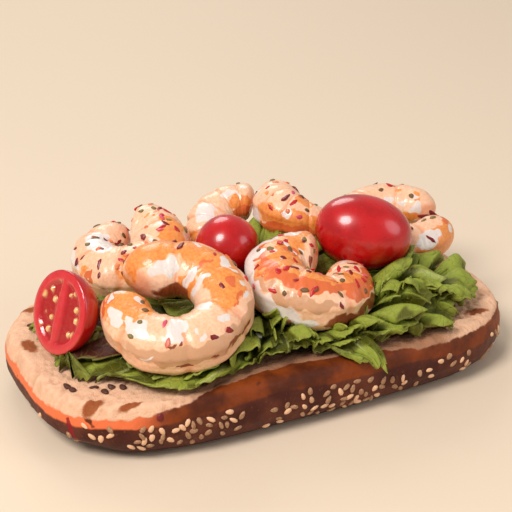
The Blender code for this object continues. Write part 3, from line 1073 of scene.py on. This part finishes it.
def pressed_under(place, toppings, floor):
    """A point of a leaf brought down under whatever topping lies over it."""
    hit = toppings.ray_cast(Vector((place.x, place.y, 0)), Vector((0, 0, 1)))[0]
    if hit and place.z > hit.z - UNDER_TOPPING:
        place.z = max(floor, hit.z - UNDER_TOPPING)
    return place


def without_scraps(showing, least=60):
    """The cells of a leaf that still show, less small scraps and cells that touch only at a corner."""
    for _ in range(3):
        a, b, c, d = showing[:-1, :-1], showing[:-1, 1:], showing[1:, :-1], showing[1:, 1:]
        falling, rising = a & d & ~b & ~c, b & c & ~a & ~d
        a[falling] = False
        b[rising] = False
    left = {tuple(cell) for cell in np.argwhere(showing).tolist()}
    kept = []
    while left:
        patch = [min(left)]
        left.discard(patch[0])
        for k, i in patch:
            for beside in ((k + 1, i), (k - 1, i), (k, i + 1), (k, i - 1)):
                if beside in left:
                    left.discard(beside)
                    patch.append(beside)
        if len(patch) >= least:
            kept += patch
    return sorted(kept)


def clear_of(toppings, corners):
    """Whether the middle of a face lies outside the toppings."""
    middle = sum(corners, Vector()) / len(corners)
    nearest, normal, _, _ = toppings.find_nearest(middle)
    return (middle - nearest).dot(normal) > 0


def relaxed(grid):
    """Softens a leaf's grid of points by moving each towards its neighbours."""
    soft = grid.copy()
    soft[:, 1:-1] = 0.5 * grid[:, 1:-1] + 0.25 * (grid[:, :-2] + grid[:, 2:])
    firm = soft.copy()
    soft[1:-1] = 0.6 * firm[1:-1] + 0.2 * (firm[:-2] + firm[2:])
    return soft


def leaf_point(leaf, u, v, reach, heap, floor):
    """Where a leaf's point u across and v from root to rim lies, and how high its frill is there."""
    seed = leaf["seed"]
    spread = leaf["spread"] * (1 - leaf["pointed"] * v**1.5)
    direction = leaf["direction"] + u * spread
    out = Vector((math.cos(direction), math.sin(direction), 0))
    along_rim = Vector((-out.y, out.x, 0))
    notch = noise.noise(Vector((u * 7.0, seed, 0.3))) * 0.05
    notch += noise.noise(Vector((u * 19.0, seed, 1.3))) * 0.03
    end = leaf["end"] * (1 - 0.13 * u**4 + 0.03 * math.sin(3.1 * u + seed) + notch)
    share = leaf["start"] + (end - leaf["start"]) * v
    about = Vector((*leaf["about"], 0)) * MM
    base = about + out * reach(direction) * share
    base = held_back(base, leaf["pointed"])
    # the front left of the heap lies flatter, and the right of it is more ruffled
    calm = 1 - 0.72 * (1 - smooth(-44 * MM, -18 * MM, base.x)) * smooth(0, -10 * MM, base.y)

    phase = leaf["folds"] * math.pi * u + seed + 0.7 * math.sin(2.7 * u + seed)
    depth = leaf["depth"] * MM * calm * smooth(0.1, 1.0, v)
    wave = math.sin(phase) + 0.35 * math.sin(2.6 * phase + 1.3 * seed) * smooth(0.4, 1.0, v)
    ruffle = 5.3 * phase + 2.0 * seed
    ruffle_depth = 0.95 * MM * calm * smooth(0.5, 1.0, v)
    edge_frill = ruffle_depth * math.sin(ruffle)
    crumple = noise.noise(base * 160 + Vector((seed, 0, 0))) * 1.2 * MM * calm
    crumple += noise.noise(base * 430 + Vector((0, seed, 0))) * 0.5 * MM
    frilly = 1 + 0.45 * smooth(8 * MM, 40 * MM, base.x)
    depth *= frilly
    lifted = (out * 0.6 + Vector((0, 0, 0.95))) * (depth * wave * 0.9 + edge_frill)
    base += lifted - along_rim * (0.42 * depth * math.sin(2 * phase))
    base += out * (0.5 * ruffle_depth * math.cos(1.6 * ruffle + seed))

    hit = heap.ray_cast(Vector((base.x, base.y, 0.1)), Vector((0, 0, -1)))[0]
    ground = hit.z if hit else floor
    low_spot = 1 - 0.75 * math.exp(-((base.x / MM - 52) / 17) ** 2 - (base.y / MM / 11) ** 2)
    rise = leaf["rise"] * MM * calm * low_spot * frilly * smooth(0.0, 0.9, v)
    droop = 0.0
    if hit is None:
        droop = 0.8 * max(0.0, base.length - reach(math.atan2(base.y, base.x)) * 0.97)
    base.z += ground + rise + crumple - droop
    return base, 0.5 + 0.33 * wave


def held_back(base, pointed):
    """Keeps leaves behind the heap's front edge. A pointed leaf may hang over it."""
    edge = ramp(FRONT_EDGE, base.x / MM) * MM
    if base.y < edge and not pointed:
        base.y = edge + 0.2 * (base.y - edge)
    return base


def pushed_out(place, tree, gap):
    """A point moved out of a solid, to lie at least gap from its surface."""
    nearest, normal, _, distance = tree.find_nearest(place)
    inside = (place - nearest).dot(normal) < 0
    if inside or distance < gap:
        return nearest + normal * gap
    return place


def row_of_leaves(count, start, end, rise, depth, seed, spare=0.35):
    """A ring of leaves round the heap, between two shares of its reach."""
    leaves = []
    for k in range(count):
        leaves.append({
            "direction": 2 * math.pi * (k + spare) / count,
            "spread": math.pi / count * (1.32 + 0.12 * math.sin(5.0 * k + seed)),
            "start": start, "end": end * (1 + 0.03 * math.sin(2.0 * k + seed)), "rise": rise,
            "folds": 2.5 + 0.6 * math.sin(2.0 * k + seed),
            "depth": depth * (1 + 0.2 * math.cos(3.0 * k + seed)),
            "seed": 1.7 * k + seed, "about": (0, 0), "pointed": 0,
        })
    return leaves


def outer_leaves():
    """The collar of leaves round the edge of the heap, with one pointed tip over the front."""
    tip = {
        "direction": math.atan2(-47, 15), "spread": 0.30, "start": 0.6, "end": 0.98, "rise": 0.2,
        "folds": 1.0, "depth": 0.9, "seed": 0.4, "about": (0, 0), "pointed": 0.75,
    }
    leaves = row_of_leaves(13, 0.66, 1.0, 0.9, 2.3, 0.0)
    leaves += row_of_leaves(12, 0.50, 0.86, 2.6, 3.1, 0.9, 0.1)
    return leaves + [tip]


def shaded_red_leaves():
    """A red-brown leaf between the half tomato and the front prawn, coloured dark to stand in for the shade
    there.
    """
    return [{
        "direction": math.pi + 0.13, "spread": 0.25, "start": 0.42, "end": 0.92, "rise": 8.0, "folds": 1.6,
        "depth": 1.2, "seed": 0.8, "about": (0, 0), "pointed": 0.2,
    }]


def inner_leaves():
    """Leaves higher on the heap, between the toppings and on the tall mound at the right."""
    leaves = row_of_leaves(11, 0.30, 0.68, 3.0, 3.0, 0.5) + row_of_leaves(8, 0.06, 0.46, 3.0, 2.8, 1.9)
    for k in range(7):
        leaves.append({
            "direction": -2.6 + 0.6 * k, "spread": 0.5, "start": 0.03, "end": 0.27 + 0.03 * math.sin(3.0 * k),
            "rise": 3.4, "folds": 2.2, "depth": 3.2, "seed": 3.1 * k + 0.3, "about": (44, -19), "pointed": 0,
        })
    return leaves


def lettuce_piece(name, leaves, across, material):
    """A finished piece of leaves, each a grid of across by LEAF_ALONG points."""
    obj = piece(name, leaves_mesh(name, leaves, across, LEAF_ALONG), (), [material])
    solid = obj.modifiers.new("thickness", "SOLIDIFY")
    solid.thickness = LEAF_THICKNESS
    solid.offset = 0.0


def heap_core():
    """The middle of the heap, smaller than the heap itself: a dark piece that stands for the shade between
    the leaves.
    """
    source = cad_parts["lettuce"].data
    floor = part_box("lettuce")[0].z
    mesh = source.copy()
    mesh.name = "lettuce_core"
    mesh.materials.clear()
    merged = bmesh.new()
    merged.from_mesh(mesh)
    bmesh.ops.remove_doubles(merged, verts=merged.verts, dist=0.01 * MM)
    merged.to_mesh(mesh)
    merged.free()
    points = coordinates(mesh)
    points[:, 0] *= 0.88
    points[:, 1] *= 0.78
    points[:, 2] = floor + (points[:, 2] - floor) * 0.6
    mesh.vertices.foreach_set("co", points.astype(np.float32).ravel())
    mesh.update()
    return mesh


# ================================================================ strewing
def strewn_over(name, surface, tree, inputs):
    return piece(name, grown(name, tree, inputs, surface))


def joined(name, meshes, strengths):
    """One surface from several, with how thickly each is strewn on its upper side."""
    values = []
    for mesh, strength in zip(meshes, strengths):
        normals = np.empty(len(mesh.vertices) * 3, np.float32)
        mesh.vertex_normals.foreach_get("vector", normals)
        up = smooth(0.1, 0.6, normals.reshape(-1, 3)[:, 2])
        values += list(up * strength)
    made = mesh_from(name, *together(meshes))
    write(made, "strewn", values)
    return made


def strew_everything(bread, prawns):
    """Sesame seeds over the crust, and flakes and zest over the tops of the prawns."""
    ball = ("GeometryNodeMeshUVSphere", {}, {"Segments": 8, "Rings": 6, "Radius": 0.5})
    chip = ("GeometryNodeMeshIcoSphere", {}, {"Subdivisions": 2, "Radius": 0.5})
    seeds = strewing_tree("seeds", ball, seed_shape)
    flakes = strewing_tree("flakes", chip, flake_shape)
    lumps = strewing_tree("lumps", chip, crumb_shape)
    sesame = tinted_material("sesame", "9a6e4b", "e9b78e", 0.45, 0.58)
    strewn_over("sesame_seeds", bread, seeds, {
        "Density": 260000.0, "Apart": 1.75 * MM, "Seed": 4, "Smallest": (2.3 * MM, 1.4 * MM, 0.8 * MM),
        "Largest": (3.1 * MM, 1.9 * MM, 1.1 * MM), "Lean": 0.22, "Finish": sesame,
    })
    over = joined("prawn_tops", [prawns[n] for n in PRAWNS], [SPRINKLED[n] for n in PRAWNS])
    chilli = tinted_material("chilli", "6d0410", "c01018", 0.35)
    strewn_over("chilli_flakes", over.copy(), flakes, {
        "Density": 34000.0, "Apart": 2.3 * MM, "Seed": 11, "Smallest": (1.7 * MM, 1.1 * MM, 0.45 * MM),
        "Largest": (4.4 * MM, 2.0 * MM, 0.8 * MM), "Lean": 0.35, "Finish": chilli,
    })
    pepper = tinted_material("pepper", "6b4a24", "7d6a35", 0.6)
    strewn_over("pepper_flakes", over.copy(), lumps, {
        "Density": 17000.0, "Apart": 3.0 * MM, "Seed": 23, "Smallest": (1.6 * MM, 1.2 * MM, 0.6 * MM),
        "Largest": (3.0 * MM, 1.9 * MM, 0.9 * MM), "Lean": 0.3, "Finish": pepper,
    })
    zest = tinted_material("zest", "e07a3c", "d4506a", 0.4, 0.8)
    strewn_over("zest_bits", over, lumps, {
        "Density": 14000.0, "Apart": 3.4 * MM, "Seed": 37, "Smallest": (1.5 * MM, 1.0 * MM, 0.45 * MM),
        "Largest": (3.2 * MM, 1.8 * MM, 0.7 * MM), "Lean": 0.3, "Finish": zest,
    })


def bits(name, spots, size, material, under=("bread_roll", "lettuce_outer")):
    """Single small things on the nearest surface under them, each at (x, y, z, turn) in mm and degrees."""
    tree = BVHTree.FromPolygons(*together([bpy.data.objects[title].data for title in under]))
    length, width, height = size
    around, steps = 12, 7
    made, rings = [], []
    for x, y, z, turn in spots:
        spot, normal, _, _ = tree.find_nearest(Vector((x, y, z)) * MM)
        if normal.z < 0:
            normal = -normal
        facing = normal.to_track_quat("Z", "Y").to_matrix() @ Matrix.Rotation(math.radians(turn), 3, "Z")
        seat = spot + normal * height * 0.3 * MM
        start = len(made)
        for i in range(1, steps):
            a = math.pi * i / steps
            slim = math.sin(a) * (1 - 0.3 * math.cos(a))
            for j in range(around):
                b = 2 * math.pi * j / around
                local = (math.cos(a) * length, slim * math.cos(b) * width, slim * math.sin(b) * height)
                made.append(seat + facing @ Vector(local) * MM * 0.5)
        made += [seat + facing @ Vector((end * length, 0, 0)) * MM * 0.5 for end in (1, -1)]
        count = (steps - 1) * around
        loft = ring_faces(steps - 1, around, count, count + 1)
        rings += [[start + i for i in reversed(face)] for face in loft]
    return piece(name, mesh_from(name, made, rings), (), [material])


# ================================================================ floor, light and camera
def stage():
    """A plain pale floor, three soft lamps and a dim room."""
    made, graph = new_material("floor")
    graph.surface(Base_Color=colour("e2cdb4"), Roughness=0.8)
    half = 8.0
    corners = [(-half, -half, 0), (half, -half, 0), (half, half, 0), (-half, half, 0)]
    mesh = mesh_from("floor", corners, [(0, 1, 2, 3)])
    mesh.materials.append(made)
    floor = new_object("floor", mesh)
    floor.location.z = -0.2 * MM

    def lamp(name, place, size, power, tint):
        data = bpy.data.lights.new(name, "AREA")
        data.shape = "DISK"
        data.size = size
        data.energy = power
        data.color = tint
        obj = new_object(name, data)
        obj.location = place
        obj.rotation_mode = "QUATERNION"
        obj.rotation_quaternion = (Vector((0, 0, 0.02)) - Vector(place)).to_track_quat("-Z", "Y")

    lamp("key", (-0.55, -0.25, 0.75), 0.42, 8.0, (1.0, 0.98, 0.96))
    lamp("fill", (0.7, -0.6, 0.45), 0.6, 2.2, (0.93, 0.96, 1.0))
    lamp("back", (0.15, 0.8, 0.6), 0.5, 2.6, (1.0, 0.99, 0.97))
    world = bpy.data.worlds.new("room")
    bpy.context.scene.world = world
    world.use_nodes = True
    background = world.node_tree.nodes["Background"]
    background.inputs["Color"].default_value = (1.0, 0.985, 0.96, 1.0)
    background.inputs["Strength"].default_value = 0.38
    bpy.context.scene.view_settings.view_transform = "Standard"


def camera():
    """Looks down at the sandwich from its front left."""
    azimuth, elevation = math.radians(26), math.radians(27)
    distance = 430 * MM
    target = Vector((-0.1, -1.1, 20)) * MM
    level = math.cos(elevation)
    ahead = Vector((math.sin(azimuth) * level, math.cos(azimuth) * level, -math.sin(elevation)))
    data = bpy.data.cameras.new("camera")
    data.sensor_width = 36
    data.lens = 98.94
    data.shift_x = -0.006
    data.shift_y = 0.092
    obj = new_object("camera", data)
    obj.location = target - ahead * distance
    obj.rotation_mode = "QUATERNION"
    obj.rotation_quaternion = ahead.to_track_quat("-Z", "Y")
    bpy.context.scene.camera = obj


# ================================================================ the sandwich
def main():
    bread = bread_mesh()
    piece("bread_roll", bread, ["bread"], [bread_material()])
    prawns = prawn_meshes(prawn_material())
    skin = tomato_material()
    whole_tomato("tomato_small", 24, 0.86, 0, 70, -26, skin)
    whole_tomato("tomato_large", 30, 1.0, 90, 76, -116, skin)
    half_tomato("tomato_half", 25, 0.98, 19, 70, -71, tomato_flesh_material())
    leaf = leaf_material("lettuce_leaf", "8f9838", "54540f", "1b1e06")
    core = leaf_material("lettuce_shadow", "3c4010", "23280a", "11140a")
    piece("lettuce_core", heap_core(), ["lettuce"], [core])
    lettuce_piece("lettuce_outer", outer_leaves(), 118, leaf)
    lettuce_piece("lettuce_inner", inner_leaves(), 118, leaf)
    # a red-brown leaf whose dark colour is painted shade between the half tomato and the front prawn
    red = leaf_material("lettuce_red_shade", "74402f", "4c2015", "240a06")
    lettuce_piece("lettuce_red_shade", shaded_red_leaves(), 60, red)
    strew_everything(bread.copy(), prawns)
    dark = tinted_material("dark_seed", "4e2614", "642f18", 0.7)
    bits("dark_seeds", DARK_SEEDS, (2.9, 1.9, 1.1), dark)
    herb = tinted_material("herb", "9ba33f", "6d7526")
    spots = [(-55, -8, 28, 60), (-53.5, -7, 28, -20)]
    bits("herb_bit", spots, (4.0, 1.8, 0.7), herb, ["lettuce_red_shade"])
    strip = tinted_material("chilli_skin", "6a0210", "8c0a16")
    spots = [(69, 9.5, 33, 60), (66, 10.5, 33, 20)]
    bits("chilli_strips", spots, (7.0, 2.6, 1.2), strip, ["prawn_right_flesh"])
    bits("rim_flake", [(-49, -40, 14, 70)], (2.4, 1.7, 0.6), strip)
    grain = tinted_material("grain", "ece6da", "d9d0c0")
    bits("white_grain", [(-12.7, -26.5, 24, 40)], (2.4, 2.0, 1.2), grain)
    stage()
    camera()


main()
